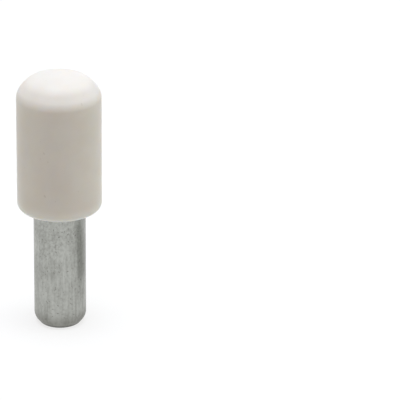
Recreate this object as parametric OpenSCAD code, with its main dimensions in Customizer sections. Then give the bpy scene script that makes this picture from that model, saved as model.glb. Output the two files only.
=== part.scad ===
// Shelf support pin: a steel pin with a moulded plastic cap.
// The bare end of the pin goes into a hole in the cabinet's side, and the shelf rests on the cap.
// Millimetres, +Z up along the pin. The origin is on the axis, in the plane of the cap's open end.

/* [Pin] */
// Diameter of the pin, which is that of the shelf hole
pin_d = 5; // [3:0.5:6]
// Length of bare pin below the cap
pin_reach = 12; // [6:0.5:25]
// Length of the chamfer at each end of the pin
chamfer_len = 0.7; // [0.5:0.1:1.5]
// Depth that the chamfer takes off the pin's radius
chamfer_depth = 0.55; // [0.3:0.05:0.9]
// Rounding between the pin's side and the chamfer
chamfer_round = 1; // [0.2:0.1:1.4]
// Rounding of the edge of the pin's end face
end_round = 0.25; // [0.05:0.05:0.5]

/* [Cap] */
// Diameter of the cap at its open end
cap_d = 8.1; // [7.5:0.1:13]
// Height of the cap from its open end to the top of the crown
cap_h = 13.6; // [9:0.2:30]
// Taper of the cap's side, in degrees
cap_draft = 0.18; // [0:0.02:1]
// Rounding of the outer edge at the open end
mouth_round = 0.75; // [0.1:0.05:0.8]
// Width of the bevel between the side and the crown, from above
bevel_width = 1.05; // [0.8:0.05:2]
// Height of the bevel, from its lower corner to its upper one
bevel_height = 1.2; // [0.9:0.05:2]
// Rounding between the side and the bevel
shoulder_round = 1.5; // [0.5:0.1:2.5]
// Rounding between the bevel and the crown
edge_round = 1.6; // [0.3:0.1:2]
// Radius of the crown, the low dome on top
crown_round = 8; // [7:0.5:40]

/* [Socket] */
// Thickness of the cap between the socket and the top of the crown
top_wall = 2.6; // [1.5:0.1:5]
// Gap all round between the pin and the socket: 0 is line to line
press_gap = 0; // [0:0.01:0.05]
// Gap all round between the pin and the socket's flared mouth
mouth_gap = 0.15; // [0.1:0.05:0.4]
// Rounding at the blind end of the socket
socket_round = 0.3; // [0.1:0.05:0.4]

/* [Snap ring] */
// Depth of the groove in the pin, which the cap's ring fills
groove_depth = 0.25; // [0.2:0.05:0.4]
// Width of the groove at its floor
groove_w = 0.55; // [0.3:0.05:1]
// Play below the ring, between its flared side and the groove's
ring_play = 0.05; // [0:0.01:0.1]

/* [Hidden] */
$fn = 96;
zinc_grey = [0.68, 0.69, 0.68];
warm_white = [0.95, 0.94, 0.92];
// Largest distance between a rounding and the chords that make it
arc_error = 0.003;

pin_r = pin_d / 2;
cap_r = cap_d / 2;
// The pin stands on the socket's floor, so the socket's depth is also the length of pin in the cap
socket_depth = cap_h - top_wall;
socket_r = pin_r + press_gap;
mouth_r = pin_r + mouth_gap;

// The sides of the groove and of the ring slope at 45 degrees, so each is as high as it is deep
groove_bottom = mouth_gap - ring_play;
groove_top = groove_bottom + groove_w + 2 * groove_depth;
groove_r = pin_r - groove_depth;
ring_r = groove_r + press_gap;

// The bevel runs from a corner on the crown down to a corner on the tapered side
crown_centre = [0, cap_h - crown_round];
upper_r = cap_r - bevel_width;
upper_corner = [upper_r, crown_centre[1] + sqrt(pow(crown_round, 2) - pow(upper_r, 2))];
lower_height = upper_corner[1] - bevel_height;
lower_corner = [cap_r - lower_height * tan(cap_draft), lower_height];
bevel_slope = atan2(bevel_height, lower_corner[0] - upper_corner[0]);
bevel_normal = [sin(bevel_slope), cos(bevel_slope)];

// The arc between them lies inside the crown's circle, and touches it and the bevel
edge_reach = crown_round - edge_round;
edge_distance = (lower_corner - crown_centre) * bevel_normal - edge_round;
edge_angle = 90 - bevel_slope + acos(edge_distance / edge_reach);
edge_centre = crown_centre + edge_reach * [cos(edge_angle), sin(edge_angle)];
bevel_top = edge_centre + edge_round * bevel_normal;

function unit(v) = v / norm(v);

// The points of an arc, between two angles from the centre, in degrees
function arc(centre, radius, from, to) =
    let (
        steps = ceil(abs(to - from) / (2 * acos(1 - arc_error / radius))),
        step = (to - from) / steps
    )
    [for (i = [0:steps]) centre + radius * [cos(from + i * step), sin(from + i * step)]];

// The arc of a given radius that touches both edges of a corner
function corner_arc(before, corner, after, radius) =
    let (
        to_before = unit(before - corner),
        to_after = unit(after - corner),
        half_angle = acos(to_before * to_after) / 2,
        centre = corner + unit(to_before + to_after) * radius / sin(half_angle),
        first_touch = corner + to_before * radius / tan(half_angle) - centre,
        start = atan2(first_touch[1], first_touch[0]),
        turn = sign(cross(to_after, to_before)) * (180 - 2 * half_angle)
    )
    arc(centre, radius, start, start + turn);

// The points of an outline, from corners given as [distance from the axis, height, rounding]
function outline(corners) =
    let (points = [for (corner = corners) [corner[0], corner[1]]])
    [for (i = [0:len(corners) - 1])
        each corners[i][2] == 0
            ? [points[i]]
            : corner_arc(points[i - 1], points[i], points[i + 1], corners[i][2])];

// Half sections of the two pieces, each going round its piece anticlockwise
pin_section = outline([
    [0, -pin_reach, 0],
    [pin_r - chamfer_depth, -pin_reach, end_round],
    [pin_r, -pin_reach + chamfer_len, chamfer_round],
    [pin_r, groove_bottom, 0],
    [groove_r, groove_bottom + groove_depth, 0],
    [groove_r, groove_top - groove_depth, 0],
    [pin_r, groove_top, 0],
    [pin_r, socket_depth - chamfer_len, chamfer_round],
    [pin_r - chamfer_depth, socket_depth, end_round],
    [0, socket_depth, 0],
]);

cap_outside = concat(
    outline([
        [mouth_r, 0, 0],
        [cap_r, 0, mouth_round],
        [lower_corner[0], lower_corner[1], shoulder_round],
        [bevel_top[0], bevel_top[1], 0],
    ]),
    arc(edge_centre, edge_round, 90 - bevel_slope, edge_angle),
    arc(crown_centre, crown_round, edge_angle, 90)
);
cap_socket = outline([
    [0, socket_depth, 0],
    [socket_r, socket_depth, socket_round],
    [socket_r, groove_top, 0],
    [ring_r, groove_top - groove_depth, 0],
    [ring_r, mouth_r - ring_r, 0],
]);

module steel_pin() {
    color(zinc_grey) rotate_extrude() polygon(pin_section);
}

module plastic_cap() {
    color(warm_white) rotate_extrude() polygon(concat(cap_outside, cap_socket));
}

steel_pin();
plastic_cap();
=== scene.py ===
"""A shelf support pin: a zinc plated steel pin that stands in a moulded white plastic cap.

Each piece is drawn as half a section in the plane y = 0 and spun round the pin's axis. The origin is on
that axis, in the plane of the cap's open end, with +Z towards the crown. Sizes are in metres.
"""
import math

import bmesh
import bpy
from bpy.props import FloatProperty, FloatVectorProperty, IntProperty, PointerProperty
from mathutils import Matrix, Vector


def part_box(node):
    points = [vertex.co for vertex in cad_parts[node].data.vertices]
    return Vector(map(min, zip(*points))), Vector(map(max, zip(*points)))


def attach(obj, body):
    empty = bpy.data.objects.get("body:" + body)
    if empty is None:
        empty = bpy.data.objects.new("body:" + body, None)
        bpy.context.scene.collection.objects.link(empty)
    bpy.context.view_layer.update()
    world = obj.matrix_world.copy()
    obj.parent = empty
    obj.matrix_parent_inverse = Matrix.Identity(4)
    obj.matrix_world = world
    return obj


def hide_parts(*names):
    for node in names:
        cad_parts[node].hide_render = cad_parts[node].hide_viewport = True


bl_info = {
    "name": "Shelf Support Pin",
    "version": (1, 0, 0),
    "blender": (4, 5, 0),
    "location": "3D View > Sidebar > Shelf Pin",
    "description": "Models a steel shelf support pin with a plastic cap, and a white stage to show it on",
    "category": "Add Mesh",
}

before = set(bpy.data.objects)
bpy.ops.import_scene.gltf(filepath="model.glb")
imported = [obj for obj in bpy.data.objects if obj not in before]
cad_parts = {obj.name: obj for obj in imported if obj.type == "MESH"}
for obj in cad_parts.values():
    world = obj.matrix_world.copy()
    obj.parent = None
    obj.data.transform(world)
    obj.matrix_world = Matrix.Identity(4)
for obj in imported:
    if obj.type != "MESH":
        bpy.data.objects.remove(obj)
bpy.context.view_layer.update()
pin_low, pin_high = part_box("steel_pin")
cap_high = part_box("plastic_cap")[1]
MM = 0.001

# Edges that turn by less than this are shaded smooth
CREASE = math.radians(25)
# How strongly the floor shines to the camera: just over 1, so that it is white to its edge
FLOOR_WHITE = 1.02
# The grey card's corners as (across, up), from the pin's axis and the floor
CARD_CORNERS = ((-1.6 * MM, 2.0 * MM), (4.4 * MM, 2.0 * MM), (1.0 * MM, 9.2 * MM), (-3.7 * MM, 9.2 * MM))
# Each lamp's direction as seen from the pin, and its colour. Its strength is a setting of the same name.
LAMPS = {
    "overhead": ((0, 0, 1), (0.94, 1.0, 1.115)),
    "right": ((0.82, 0, 0.57), (0.9, 1.0, 0.85)),
    "left": ((-0.98, 0, 0.21), (0.9, 1.0, 0.65)),
}
SENSOR_WIDTH = 36.0
CAMERA_NEAR, CAMERA_FAR = 0.01, 20.0


def length(name, description, default, low=0.0):
    """A size property, in metres."""
    return FloatProperty(name=name, description=description, default=default, min=low, unit="LENGTH",
                         subtype="DISTANCE", precision=5)


def turn(name, description, degrees, low=-180.0, high=180.0):
    """An angle property, whose default and limits are given in degrees."""
    return FloatProperty(name=name, description=description, default=math.radians(degrees),
                         min=math.radians(low), max=math.radians(high), unit="ROTATION", subtype="ANGLE")


def share(name, description, default, high=1.0):
    """A number property from 0 upwards, without a unit."""
    return FloatProperty(name=name, description=description, default=default, min=0.0, max=high,
                         subtype="FACTOR" if high == 1.0 else "NONE", precision=3)


def colour(name, description, default):
    """A colour property, in linear red, green and blue."""
    return FloatVectorProperty(name=name, description=description, default=default, size=3, min=0.0,
                               max=1.0, subtype="COLOR")


class ShelfPinSteel(bpy.types.PropertyGroup):
    """Sizes and finish of the steel pin."""

    radius: length("Radius", "Half the diameter of the shelf hole", pin_high.x)
    foot: FloatProperty(name="Foot", description="Height of the pin's free end", default=pin_low.z,
                        unit="LENGTH", subtype="DISTANCE", precision=5)
    head: length("Head", "Height of the pin's end in the cap", pin_high.z)
    chamfer_length: length("Chamfer Length", "Length of the chamfer at each end", 0.7 * MM)
    chamfer_depth: length("Chamfer Depth", "Depth that the chamfer takes off the radius", 0.55 * MM)
    chamfer_round: length("Chamfer Rounding", "Rounding between the side and the chamfer", 1.0 * MM)
    end_round: length("End Rounding", "Rounding of the edge of each end face", 0.25 * MM)
    groove_low: length("Groove Start", "Height at which the groove for the snap ring starts", 0.1 * MM)
    groove_high: length("Groove End", "Height at which the groove for the snap ring ends", 1.15 * MM)
    groove_depth: length("Groove Depth", "Depth of the groove for the snap ring", 0.25 * MM)
    zinc: colour("Zinc", "Colour of the clean zinc plating", (0.441, 0.448, 0.419))
    dull_zinc: colour("Dull Zinc", "Colour of the zinc where it has dulled", (0.303, 0.307, 0.283))
    # The pits' colour also paints the shade round both ends of the pin
    pits: colour("Pits", "Colour in the small pits of the plating", (0.165, 0.163, 0.145))
    # Painted shade: the edge that the pin stands on is painted near black, standing in for the floor's
    # contact shadow that it reflects
    painted_foot_shade: colour("Foot Edge", "Colour of the edge that the pin stands on", (0.08, 0.08, 0.07))
    grain: length("Grain", "Size of the plating's grain", 0.2 * MM, 0.01 * MM)
    roughness: share("Roughness", "Middle roughness of the plating", 0.4)


class ShelfPinCap(bpy.types.PropertyGroup):
    """Sizes and finish of the plastic cap."""

    radius: length("Radius", "Radius of the side, carried down to the open end", 4.048 * MM)
    height: length("Height", "Height of the crown above the open end", cap_high.z)
    draft: turn("Draft", "Taper of the side", 0.05, 0, 5)
    mouth_round: length("Mouth Rounding", "Rounding of the outer edge at the open end", 0.62 * MM)
    shoulder_round: length("Shoulder Rounding", "Rounding between the side and the bevel", 1.3 * MM)
    bevel_width: length("Bevel Width", "Width of the bevel between the side and the crown", 0.97 * MM)
    bevel_height: length("Bevel Height", "Height of the bevel", 1.2 * MM)
    edge_round: length("Crown Edge Rounding", "Rounding between the bevel and the crown", 1.6 * MM)
    crown_round: length("Crown Radius", "Radius of the low dome on top", 8.0 * MM)
    socket_depth: length("Socket Depth", "Depth of the socket that holds the pin", pin_high.z)
    socket_round: length("Socket Rounding", "Rounding at the socket's blind end", 0.3 * MM)
    mouth_gap: length("Mouth Gap", "Gap between the pin and the socket's flared mouth", 0.15 * MM)
    lip_round: length("Lip Rounding", "Rounding of the inner edge at the open end", 0.05 * MM)
    plastic: colour("Plastic", "Colour of the moulded plastic", (0.902, 0.866, 0.82))
    handled: colour("Handled Plastic", "Colour where the plastic has been handled", (0.877, 0.836, 0.783))
    # Painted light: a paler colour along the open end, for the light that the floor throws up onto it
    edge: colour("Edge", "Colour of the plastic along the open end", (0.97, 0.95, 0.91))
    specks: colour("Specks", "Colour of the few fine specks in the plastic", (0.45, 0.40, 0.34))
    roughness: share("Roughness", "Middle roughness of the moulded surface", 0.3)
    shine: share("Shine", "Strength of the moulded surface's own reflection", 0.35)
    depth_of_light: length("Depth of Light", "How far light spreads inside the plastic", 0.8 * MM)


class ShelfPinStage(bpy.types.PropertyGroup):
    """Floor, lamps and camera."""

    floor_size: length("Floor Size", "Half the side of the floor", 3.0)
    floor_paint: colour("Floor Paint", "Colour of the light that the floor sends back",
                        (0.66, 0.645, 0.605))
    shadow: share("Shadow", "Strength of the shadow that the white floor shows", 0.24)
    card: colour("Grey Card", "Colour of the card that the metal reflects", (0.48, 0.488, 0.472))
    card_distance: length("Card Distance", "Distance from the pin's axis to the grey card", 7.3 * MM)
    room: colour("Room Light", "Light that comes evenly from the whole room", (0.115, 0.07, 0.0275))
    lamp_spread: turn("Lamp Spread", "How wide each soft lamp looks from the pin", 40, 1, 179)
    overhead: share("Overhead Lamp", "Light from the lamp overhead", 0.887, 20.0)
    right: share("Right Lamp", "Light from the lamp on the right", 0.16, 20.0)
    left: share("Left Lamp", "Light from the lamp low on the left", 0.063, 20.0)
    lens: FloatProperty(name="Lens", description="Focal length of the camera", default=297.0, min=1.0,
                        unit="CAMERA")
    distance: length("Camera Distance", "Distance from the camera to where it aims", 315.4 * MM)
    height_angle: turn("Camera Height", "Angle at which the camera looks down", 24.3)
    roll: turn("Camera Roll", "Roll of the camera about its own axis", 0.7)
    aside: length("Aim Aside", "How far the camera aims to the right of the pin", 13.42 * MM)
    above: length("Aim Above", "How far the camera aims above the cap's open end", 0.63 * MM)


class ShelfPinSettings(bpy.types.PropertyGroup):
    """All the settings of the shelf pin."""

    steps: IntProperty(name="Steps Round", description="Facets round each piece", default=256, min=32,
                       max=512)
    steel: PointerProperty(name="Steel Pin", description="Settings of the pin", type=ShelfPinSteel)
    cap: PointerProperty(name="Plastic Cap", description="Settings of the cap", type=ShelfPinCap)
    stage: PointerProperty(name="Stage", description="Settings of the stage", type=ShelfPinStage)


# Sections and spun meshes

def draw_lines(section, start, *corners):
    """Draws straight lines from a section's point through corners given as (radius, height)."""
    points = [start]
    for radius, height in corners:
        point = bmesh.ops.extrude_vert_indiv(section, verts=[points[-1]])["verts"][0]
        point.co = (radius, 0, height)
        points.append(point)
    return points


def draw_arc(section, start, centre, angle, steps):
    """Swings a section's point round a centre given as (radius, height), and returns the last point."""
    swung = bmesh.ops.spin(section, geom=[start], cent=(centre[0], 0, centre[1]), axis=(0, 1, 0),
                           angle=angle, steps=steps, use_duplicate=False)
    return swung["geom_last"][0]


def round_corner(section, corner, radius, segments):
    """Rounds a corner of a section to a radius."""
    one, other = ((edge.other_vert(corner).co - corner.co) for edge in corner.link_edges)
    offset = radius / math.tan(one.angle(other) / 2)
    bmesh.ops.bevel(section, geom=[corner], offset=offset, offset_type="OFFSET", segments=segments,
                    profile=0.5, affect="VERTICES", material=-1, clamp_overlap=False)


def spin_section(section, steps, name):
    """Spins a half section once round the pin's axis and returns the closed, smooth piece."""
    bmesh.ops.spin(section, geom=section.verts[:] + section.edges[:], cent=(0, 0, 0), axis=(0, 0, 1),
                   angle=2 * math.pi, steps=steps, use_merge=True)
    bmesh.ops.remove_doubles(section, verts=section.verts, dist=1e-5 * MM)
    bmesh.ops.recalc_face_normals(section, faces=section.faces)
    for face in section.faces:
        face.smooth = True
    for edge in section.edges:
        edge.smooth = edge.calc_face_angle(math.pi) < CREASE
    if any(not edge.is_manifold for edge in section.edges) or section.calc_volume(signed=True) <= 0:
        raise RuntimeError(f"{name} isn't closed, or is inside out")
    mesh = bpy.data.meshes.new(name)
    section.to_mesh(mesh)
    section.free()
    piece = bpy.data.objects.new(name, mesh)
    bpy.context.scene.collection.objects.link(piece)
    return piece


def place_piece(piece, node, finish):
    """Puts a finished piece in the frame in place of its plain node."""
    piece.data.materials.append(finish)
    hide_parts(node)
    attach(piece, "root")


def model_pin(steel, steps):
    """Models the pin from its foot up: chamfered ends, and a groove for the cap's snap ring."""
    section = bmesh.new()
    end_radius = steel.radius - steel.chamfer_depth
    groove_radius = steel.radius - steel.groove_depth
    low_chamfer = steel.foot + steel.chamfer_length
    high_chamfer = steel.head - steel.chamfer_length
    points = draw_lines(
        section,
        section.verts.new((0, 0, steel.foot)),
        (end_radius, steel.foot),
        (steel.radius, low_chamfer),
        (steel.radius, low_chamfer + steel.chamfer_round),
        (steel.radius, steel.groove_low),
        (groove_radius, steel.groove_low + steel.groove_depth),
        (groove_radius, steel.groove_high - steel.groove_depth),
        (steel.radius, steel.groove_high),
        (steel.radius, high_chamfer - steel.chamfer_round),
        (steel.radius, high_chamfer),
        (end_radius, steel.head),
        (0, steel.head),
    )
    for corner in (points[2], points[9]):
        round_corner(section, corner, steel.chamfer_round, segments=8)
    for corner in (points[1], points[10]):
        round_corner(section, corner, steel.end_round, segments=6)
    return spin_section(section, steps, "steel_pin_plated")


def model_cap(cap, steel, steps):
    """Models the cap from its crown outwards, round the open end and up into the socket."""
    section = bmesh.new()
    lean = math.tan(cap.draft)
    crown_centre = (0, cap.height - cap.crown_round)
    # The bevel runs from a corner on the crown down to a corner on the tapered side
    upper_radius = cap.radius - cap.bevel_width
    upper_height = crown_centre[1] + math.sqrt(cap.crown_round ** 2 - upper_radius ** 2)
    corner_height = upper_height - cap.bevel_height
    corner_radius = cap.radius - corner_height * lean
    slope = math.atan2(cap.bevel_height, corner_radius - upper_radius)
    # The arc between them lies inside the crown's circle, and touches it and the bevel
    reach = cap.crown_round - cap.edge_round
    across = (corner_radius * math.sin(slope) + (corner_height - crown_centre[1]) * math.cos(slope)
              - cap.edge_round)
    edge_start = slope - math.acos(across / reach)
    edge_centre = (reach * math.sin(edge_start), crown_centre[1] + reach * math.cos(edge_start))
    top = section.verts.new((0, 0, cap.height))
    edge = draw_arc(section, top, crown_centre, edge_start, steps=14)
    edge = draw_arc(section, edge, edge_centre, slope - edge_start, steps=8)
    # Points a little inside each end of the side keep its shading straight
    side_low, side_high = cap.mouth_round * 1.3, corner_height - cap.shoulder_round
    mouth_radius = steel.radius + cap.mouth_gap
    ring_radius = steel.radius - steel.groove_depth
    points = draw_lines(
        section,
        edge,
        (corner_radius, corner_height),
        (cap.radius - side_high * lean, side_high),
        (cap.radius - side_low * lean, side_low),
        (cap.radius, 0),
        (mouth_radius, 0),
        (ring_radius, mouth_radius - ring_radius),
        (ring_radius, steel.groove_high - steel.groove_depth),
        (steel.radius, steel.groove_high),
        (steel.radius, cap.socket_depth),
        (0, cap.socket_depth),
    )
    round_corner(section, points[1], cap.shoulder_round, segments=16)
    round_corner(section, points[4], cap.mouth_round, segments=14)
    round_corner(section, points[5], cap.lip_round, segments=4)
    round_corner(section, points[9], cap.socket_round, segments=5)
    return spin_section(section, steps, "plastic_cap_moulded")


# Finishes

class Value:
    """A value in a finish's node tree. Plain arithmetic on it adds the Math nodes."""

    def __init__(self, finish, socket):
        self.finish, self.socket = finish, socket

    def maths(self, operation, first, second):
        """Adds one Math node."""
        return self.finish.node("Math", {"operation": operation}, {0: first, 1: second})

    def __add__(self, other):
        return self.maths("ADD", self, other)

    def __radd__(self, other):
        return self.maths("ADD", other, self)

    def __sub__(self, other):
        return self.maths("SUBTRACT", self, other)

    def __rsub__(self, other):
        return self.maths("SUBTRACT", other, self)

    def __mul__(self, other):
        return self.maths("MULTIPLY", self, other)

    def __rmul__(self, other):
        return self.maths("MULTIPLY", other, self)


class Finish:
    """A material or a world that is built from nodes."""

    def __init__(self, owner):
        self.owner = owner
        owner.use_nodes = True
        self.tree = owner.node_tree
        self.tree.nodes.clear()

    def node(self, kind, settings, sockets, output=0):
        """Adds a shader node with its settings, then its socket values or links, and returns one output."""
        node = self.tree.nodes.new("ShaderNode" + kind)
        for key, value in settings.items():
            setattr(node, key, value)
        for key, value in sockets.items():
            if isinstance(value, Value):
                self.tree.links.new(value.socket, node.inputs[key])
            else:
                node.inputs[key].default_value = value
        return Value(self, node.outputs[output]) if node.outputs else None

    def place(self, stretch=(1, 1, 1), shift=(0, 0, 0)):
        """The point on the piece, with each axis stretched and shifted."""
        point = self.node("TexCoord", {}, {}, "Object")
        return self.node("Mapping", {}, {"Vector": point, "Location": shift, "Scale": stretch})

    def noise(self, place, size, detail=2.0, roughness=0.5):
        """Soft noise from 0 to 1, whose lumps are about size metres apart."""
        return self.node("TexNoise", {"normalize": True},
                         {"Vector": place, "Scale": 1 / size, "Detail": detail, "Roughness": roughness})

    def ramp(self, value, low, high):
        """Rises smoothly from 0 at low to 1 at high, or falls where low is above high."""
        start, end = (0.0, 1.0) if low < high else (1.0, 0.0)
        return self.node("MapRange", {"interpolation_type": "SMOOTHSTEP"},
                         {"Value": value, "From Min": min(low, high), "From Max": max(low, high),
                          "To Min": start, "To Max": end})

    def blend(self, amount, first, second):
        """Mixes two colours."""
        first, second = (c if isinstance(c, Value) else (*c, 1.0) for c in (first, second))
        return self.node("Mix", {"data_type": "RGBA"}, {"Factor": amount, "A": first, "B": second},
                         "Result")

    def shown(self):
        """1 where the camera, a reflection or a refraction sees it, and 0 where only light does."""
        camera, glossy, through = (self.node("LightPath", {}, {}, f"Is {ray} Ray")
                                   for ray in ("Camera", "Glossy", "Transmission"))
        return camera + glossy + through

    def surface(self, shader, output="OutputMaterial"):
        """Ends the tree in a shader."""
        self.node(output, {}, {"Surface": shader})
        return self.owner


def zinc_finish(steel):
    """Zinc plating: a mottled grain with small dark pits, over faint marks drawn along the pin."""
    finish = Finish(bpy.data.materials.new("zinc_plating"))
    place = finish.place()
    height = finish.node("SeparateXYZ", {}, {"Vector": place}, "Z")
    across = finish.node("VectorMath", {"operation": "LENGTH"}, {0: finish.place((1, 1, 0))}, "Value")

    grain = finish.noise(finish.place((1, 1, 0.7)), 1.05 * steel.grain, detail=3.0, roughness=0.6)
    cloud = finish.noise(place, 9 * steel.grain)
    drawn = finish.noise(finish.place((1, 1, 0.08)), 1.3 * steel.grain)
    # The pits' noise is shifted, so that it doesn't repeat the grain's
    scattered = finish.place(shift=(0.013, 0.007, 0.002))
    pits = finish.ramp(finish.noise(scattered, 1.3 * steel.grain, detail=1.0), 0.64, 0.76)

    # The half that slides into the shelf's hole is drawn more, and shows less of its grain
    slid = finish.ramp(height, 0.25 * steel.foot, 0.5 * steel.foot)
    tone = (0.56 - 0.2 * slid) * grain + (0.2 + 0.05 * slid) * cloud + (0.24 + 0.15 * slid) * drawn
    colour = finish.blend(finish.ramp(tone, 0.35, 0.65), steel.zinc, steel.dull_zinc)
    colour = finish.blend((0.65 - 0.1 * slid) * pits, colour, steel.pits)

    # Painted shade: both ends are darkened round their edges with the pits' colour. At the foot this stands
    # in for the dark reflection of the floor's shadow in the chamfer. The middle of each end face is as
    # clean as the side.
    chamfer = steel.chamfer_length
    low_end_shade = finish.ramp(height, steel.foot + 3 * chamfer, steel.foot + 0.8 * chamfer)
    high_end_shade = finish.ramp(height, steel.head - chamfer, steel.head - 0.5 * chamfer)
    # Painted shade: the foot's edge is darkened further, for the contact shadow that it reflects
    painted_foot_shade = finish.ramp(height, steel.foot + 0.7 * chamfer, steel.foot + 0.1 * chamfer)
    rim = finish.ramp(across, 0.5 * steel.radius, 0.8 * steel.radius)
    colour = finish.blend((low_end_shade + high_end_shade) * rim * (0.25 + 0.7 * cloud), colour, steel.pits)
    colour = finish.blend(0.75 * painted_foot_shade * rim, colour, steel.painted_foot_shade)

    relief = 0.6 * grain + 0.4 * drawn - 0.8 * pits
    normal = finish.node("Bump", {}, {"Strength": 1.0, "Distance": 0.005 * MM, "Height": relief})
    return finish.surface(finish.node("BsdfPrincipled", {}, {
        "Base Color": colour,
        "Metallic": 1.0,
        "Roughness": steel.roughness - 0.06 + 0.12 * cloud + 0.1 * pits,
        "Normal": normal,
    }))


def plastic_finish(cap):
    """Moulded plastic: a satin white with a very fine grain, slightly uneven where it has been handled."""
    finish = Finish(bpy.data.materials.new("moulded_plastic"))
    place = finish.place()
    height = finish.node("SeparateXYZ", {}, {"Vector": place}, "Z")
    cloud = finish.noise(place, 2.5 * MM, detail=3.0)
    grain = finish.noise(place, 0.09 * MM)
    scattered = finish.place(shift=(0.021, 0.003, 0.008))
    specks = finish.ramp(finish.noise(scattered, 0.35 * MM, detail=0.0), 0.83, 0.87)
    # Painted light: the open end is painted a little paler, standing in for the light that the floor throws
    # up onto it
    painted_floor_light = finish.ramp(height, 1.4 * MM, 0.4 * MM)
    colour = finish.blend(finish.ramp(cloud, 0.3, 0.7), cap.plastic, cap.handled)
    colour = finish.blend(0.7 * painted_floor_light, colour, cap.edge)
    colour = finish.blend(0.2 * specks, colour, cap.specks)
    normal = finish.node("Bump", {}, {"Strength": 1.0, "Distance": 0.0012 * MM, "Height": grain})
    return finish.surface(finish.node("BsdfPrincipled", {}, {
        "Base Color": colour,
        "Roughness": cap.roughness - 0.05 + 0.1 * cloud,
        "IOR": 1.5,
        "Specular IOR Level": cap.shine,
        "Subsurface Weight": 1.0,
        "Subsurface Radius": (1.0, 0.9, 0.75),
        "Subsurface Scale": cap.depth_of_light,
        "Normal": normal,
    }))


def floor_finish(stage):
    """A pale floor that shows white to the camera and in reflections, and keeps the shadow."""
    finish = Finish(bpy.data.materials.new("floor"))
    paint = finish.node("BsdfDiffuse", {}, {"Color": (*stage.floor_paint, 1.0)})
    shadowed = finish.node("BsdfDiffuse", {}, {"Color": (*[stage.shadow] * 3, 1.0)})
    lift = finish.node("Emission", {}, {"Color": (1, 1, 1, 1), "Strength": FLOOR_WHITE - stage.shadow})
    white = finish.node("AddShader", {}, {0: shadowed, 1: lift})
    above = finish.node("MixShader", {}, {0: finish.shown(), 1: paint, 2: white})
    below = finish.node("BsdfTransparent", {}, {})
    behind = finish.node("NewGeometry", {}, {}, "Backfacing")
    return finish.surface(finish.node("MixShader", {}, {0: behind, 1: above, 2: below}))


# Stage

def lay_floor(stage, height):
    """Lays a wide floor at the height of the pin's foot."""
    plate = bmesh.new()
    bmesh.ops.create_grid(plate, x_segments=8, y_segments=8, size=stage.floor_size)
    bmesh.ops.translate(plate, verts=plate.verts, vec=(0, 0, height))
    mesh = bpy.data.meshes.new("floor")
    plate.to_mesh(mesh)
    plate.free()
    mesh.materials.append(floor_finish(stage))
    floor = bpy.data.objects.new("floor", mesh)
    bpy.context.scene.collection.objects.link(floor)


def stand_card(stage, low):
    """Stands a small grey card beside the pin. It glows evenly and is seen only in reflections, as a
    painted reflection that shows as a darker band in the bright metal.
    """
    card = bmesh.new()
    card.faces.new([card.verts.new((stage.card_distance, across, low + up)) for across, up in CARD_CORNERS])
    mesh = bpy.data.meshes.new("grey_card")
    card.to_mesh(mesh)
    card.free()
    finish = Finish(bpy.data.materials.new("grey_card"))
    mesh.materials.append(finish.surface(finish.node("Emission", {}, {"Color": (*stage.card, 1.0)})))
    stood = bpy.data.objects.new("grey_card", mesh)
    stood.visible_camera = stood.visible_diffuse = stood.visible_shadow = stood.visible_transmission = False
    bpy.context.scene.collection.objects.link(stood)


def hang_lamp(name, towards, angle, strength, colour):
    """Hangs a wide soft lamp far away, in the direction given, whose light falls evenly."""
    lamp = bpy.data.lights.new(name, "SUN")
    lamp.angle = angle
    lamp.energy = strength * math.pi
    lamp.color = colour
    hung = bpy.data.objects.new(name, lamp)
    hung.rotation_mode = "QUATERNION"
    hung.rotation_quaternion = Vector(towards).to_track_quat("Z", "Y")
    hung.visible_glossy = False
    bpy.context.scene.collection.objects.link(hung)


def light_room(stage):
    """Lights the pin softly from overhead, in a pale room that shows white behind it."""
    room = Finish(bpy.data.worlds.new("pale_room"))
    dim = room.node("Background", {}, {"Color": (*stage.room, 1.0)})
    white = room.node("Background", {}, {"Color": (1, 1, 1, 1)})
    either = room.node("MixShader", {}, {0: room.shown(), 1: dim, 2: white})
    bpy.context.scene.world = room.surface(either, "OutputWorld")
    for name, (towards, tint) in LAMPS.items():
        hang_lamp(f"{name}_lamp", towards, stage.lamp_spread, getattr(stage, name), tint)


def set_camera(stage):
    """Sets the camera in front of the pin, looking down, aimed to the right of it."""
    turned = Matrix.Rotation(math.radians(90) - stage.height_angle, 4, "X")
    turned = turned @ Matrix.Rotation(stage.roll, 4, "Z")
    moved = Matrix.Translation(turned @ Vector((stage.aside, stage.above, stage.distance)))
    camera = bpy.data.objects.new("camera", bpy.data.cameras.new("camera"))
    camera.data.lens = stage.lens
    camera.data.sensor_width = SENSOR_WIDTH
    camera.data.clip_start, camera.data.clip_end = CAMERA_NEAR, CAMERA_FAR
    camera.matrix_world = moved @ turned
    bpy.context.scene.collection.objects.link(camera)
    bpy.context.scene.camera = camera


class SHELF_PIN_OT_steel_pin(bpy.types.Operator):
    """Model the zinc plated steel pin"""

    bl_idname = "shelf_pin.steel_pin"
    bl_label = "Steel Pin"
    bl_options = {"REGISTER", "UNDO"}

    def execute(self, context):
        settings = context.scene.shelf_pin
        pin = model_pin(settings.steel, settings.steps)
        place_piece(pin, "steel_pin", zinc_finish(settings.steel))
        return {"FINISHED"}


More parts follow.
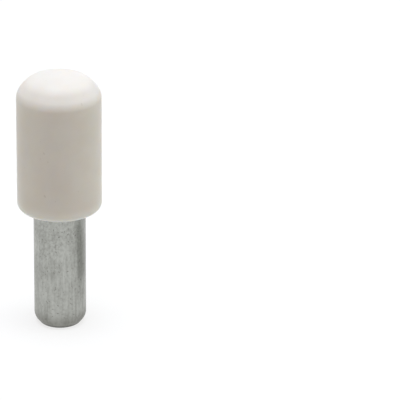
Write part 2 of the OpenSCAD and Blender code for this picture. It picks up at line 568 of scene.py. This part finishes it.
class SHELF_PIN_OT_plastic_cap(bpy.types.Operator):
    """Model the moulded plastic cap"""

    bl_idname = "shelf_pin.plastic_cap"
    bl_label = "Plastic Cap"
    bl_options = {"REGISTER", "UNDO"}

    def execute(self, context):
        settings = context.scene.shelf_pin
        cap = model_cap(settings.cap, settings.steel, settings.steps)
        place_piece(cap, "plastic_cap", plastic_finish(settings.cap))
        return {"FINISHED"}


class SHELF_PIN_OT_stage(bpy.types.Operator):
    """Set up the floor, the lamps and the camera"""

    bl_idname = "shelf_pin.stage"
    bl_label = "Stage"
    bl_options = {"REGISTER", "UNDO"}

    def execute(self, context):
        settings = context.scene.shelf_pin
        context.scene.view_settings.view_transform = "Standard"
        lay_floor(settings.stage, settings.steel.foot)
        stand_card(settings.stage, settings.steel.foot)
        light_room(settings.stage)
        set_camera(settings.stage)
        return {"FINISHED"}


OPERATORS = (SHELF_PIN_OT_steel_pin, SHELF_PIN_OT_plastic_cap, SHELF_PIN_OT_stage)


class SHELF_PIN_PT_panel(bpy.types.Panel):
    """Lists the shelf pin's pieces and its stage"""

    bl_idname = "SHELF_PIN_PT_panel"
    bl_label = "Shelf Pin"
    bl_space_type = "VIEW_3D"
    bl_region_type = "UI"
    bl_category = "Shelf Pin"

    def draw(self, context):
        for operator in OPERATORS:
            self.layout.operator(operator.bl_idname)


CLASSES = (ShelfPinSteel, ShelfPinCap, ShelfPinStage, ShelfPinSettings, *OPERATORS, SHELF_PIN_PT_panel)


def register():
    """Registers the classes and adds the settings to the scene."""
    for made in CLASSES:
        bpy.utils.register_class(made)
    bpy.types.Scene.shelf_pin = PointerProperty(type=ShelfPinSettings)


def unregister():
    """Removes the settings and the classes."""
    del bpy.types.Scene.shelf_pin
    for made in reversed(CLASSES):
        bpy.utils.unregister_class(made)


def main():
    """Makes the pin and its stage."""
    register()
    bpy.ops.shelf_pin.steel_pin()
    bpy.ops.shelf_pin.plastic_cap()
    bpy.ops.shelf_pin.stage()


if __name__ == "__main__":
    main()
